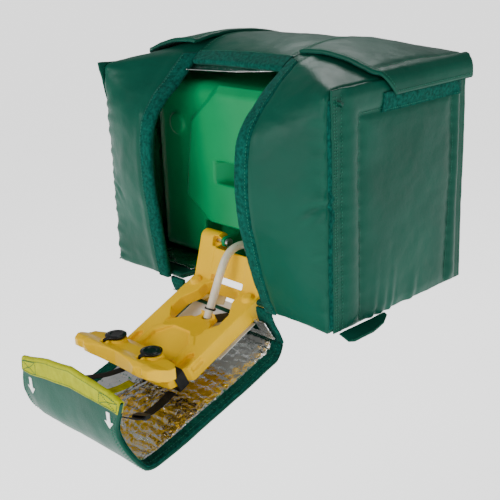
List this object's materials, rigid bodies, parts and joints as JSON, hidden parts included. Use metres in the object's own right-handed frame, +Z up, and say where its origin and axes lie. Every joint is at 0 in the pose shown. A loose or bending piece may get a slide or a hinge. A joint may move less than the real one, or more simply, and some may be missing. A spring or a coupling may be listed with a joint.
{
  "type": "portable eyewash station in an insulated cover",
  "caption": "Box-shaped green tank in a padded insulated cover, its foil-lined front flap and yellow twin-nozzle tray folded down, with a hose, pull webbing and screw fill cap",
  "frame": {"origin": "middle of the cover's flat base", "axes": "+X to the right seen from the front, -Y towards the front opening, +Z up"},
  "size_m": [0.7864, 0.8619, 0.7764],
  "materials": {
    "vinyl": "semi-gloss coated vinyl",
    "foil": "crinkled reflective foil",
    "loop_tape": "napped hook-and-loop tape",
    "tank": "blow-moulded satin",
    "tray": "blow-moulded satin",
    "seal": "matte",
    "black_plastic": "satin",
    "cap_rubber": "glossy",
    "steel": "brushed",
    "hose": "translucent",
    "card": "coated",
    "black_webbing": "woven",
    "yellow_webbing": "woven",
    "print": "printed"
  },
  "bodies": {
    "cover": {"floor_panel": "vinyl", "back_panel": "vinyl", "left_side_panel": "vinyl", "right_side_panel": "vinyl", "top_panel": "vinyl", "left_cheek": "vinyl", "right_cheek": "vinyl", "floor_lining": "foil", "wall_lining": "foil", "top_lining": "foil", "left_edge_loop": "loop_tape", "right_edge_loop": "loop_tape", "top_edge_loop": "loop_tape", "left_corner_loop": "loop_tape", "right_corner_loop": "loop_tape", "left_side_loop": "loop_tape", "right_side_loop": "loop_tape", "tank_body": "tank", "cap_gasket": "seal", "outlet_fitting": "black_plastic", "hose_clamp": "steel", "pivot_pins": "steel", "supply_hose": "hose"},
    "cap": {"fill_cap": "black_plastic"},
    "tray": {"tray_shell": "tray", "hose_barb": "black_plastic", "cable_tie": "black_plastic", "guide_card": "card", "tray_strap": "black_webbing", "strap_buckle": "black_plastic", "spray_yoke": "tray", "left_nozzle": "black_plastic", "right_nozzle": "black_plastic", "cap_pins": "steel"},
    "dust_cap_l": {"left_dust_cap": "cap_rubber"},
    "dust_cap_r": {"right_dust_cap": "cap_rubber"},
    "flap_root": {"flap_root_panel": "vinyl", "flap_root_lining": "foil"},
    "flap": {"flap_panel": "vinyl", "flap_lining": "foil", "flap_binding": "loop_tape", "flap_lip": "vinyl", "lip_lining": "foil", "pull_webbing": "yellow_webbing", "lip_arrows": "print", "centre_link_strap": "yellow_webbing", "left_link_strap": "black_webbing", "right_link_strap": "black_webbing", "strap_sliders": "black_plastic"},
    "top_flap_l": {"left_top_flap": "vinyl"},
    "top_flap_r": {"right_top_flap": "vinyl"},
    "bottom_flap_l": {"left_bottom_flap": "vinyl"},
    "bottom_flap_r": {"right_bottom_flap": "vinyl"}
  },
  "joints": [
    {"name": "flap_root_fold", "type": "hinge", "parent": "cover", "child": "flap_root", "pos_m": [0, -0.229, -0.009], "axis": [-1, 0, 0], "range_deg": [0, 150]},
    {"name": "flap_fold", "type": "hinge", "parent": "flap_root", "child": "flap", "pos_m": [0, -0.179, -0.092], "axis": [-1, 0, 0], "range_deg": [-67.51, 0], "deforming": ["centre_link_strap", "left_link_strap", "right_link_strap"]},
    {"name": "tray_fold", "type": "hinge", "parent": "cover", "child": "tray", "pos_m": [0, -0.147, 0.094], "axis": [-1, 0, 0], "range_deg": [0, 103.51], "deforming": ["supply_hose"]},
    {"name": "cap_turn", "type": "hinge", "parent": "cover", "child": "cap", "pos_m": [0, 0.087, 0.47], "axis": [0, 0, 1], "continuous": true},
    {"name": "dust_cap_flip_l", "type": "hinge", "parent": "tray", "child": "dust_cap_l", "pos_m": [-0.062, -0.4935, -0.0475], "axis": [1, 0, 0], "range_deg": [0, 95]},
    {"name": "dust_cap_flip_r", "type": "hinge", "parent": "tray", "child": "dust_cap_r", "pos_m": [0.062, -0.4935, -0.0475], "axis": [1, 0, 0], "range_deg": [0, 95]},
    {"name": "top_flap_lift_l", "type": "hinge", "parent": "cover", "child": "top_flap_l", "pos_m": [-0.176, 0.057, 0.553], "axis": [0, 1, 0], "range_deg": [0, 110]},
    {"name": "top_flap_lift_r", "type": "hinge", "parent": "cover", "child": "top_flap_r", "pos_m": [0.176, 0.057, 0.553], "axis": [0, -1, 0], "range_deg": [0, 110]},
    {"name": "bottom_flap_lift_l", "type": "hinge", "parent": "cover", "child": "bottom_flap_l", "pos_m": [-0.3595, -0.137, 0.004], "axis": [0, 1, 0], "range_deg": [0, 100]},
    {"name": "bottom_flap_lift_r", "type": "hinge", "parent": "cover", "child": "bottom_flap_r", "pos_m": [0.3595, -0.137, 0.004], "axis": [0, -1, 0], "range_deg": [0, 100]}
  ],
  "couplings": [
    {"joint": "flap_fold", "follows": "flap_root_fold", "ratio": -0.45},
    {"joint": "tray_fold", "follows": "flap_root_fold", "ratio": 0.69}
  ]
}
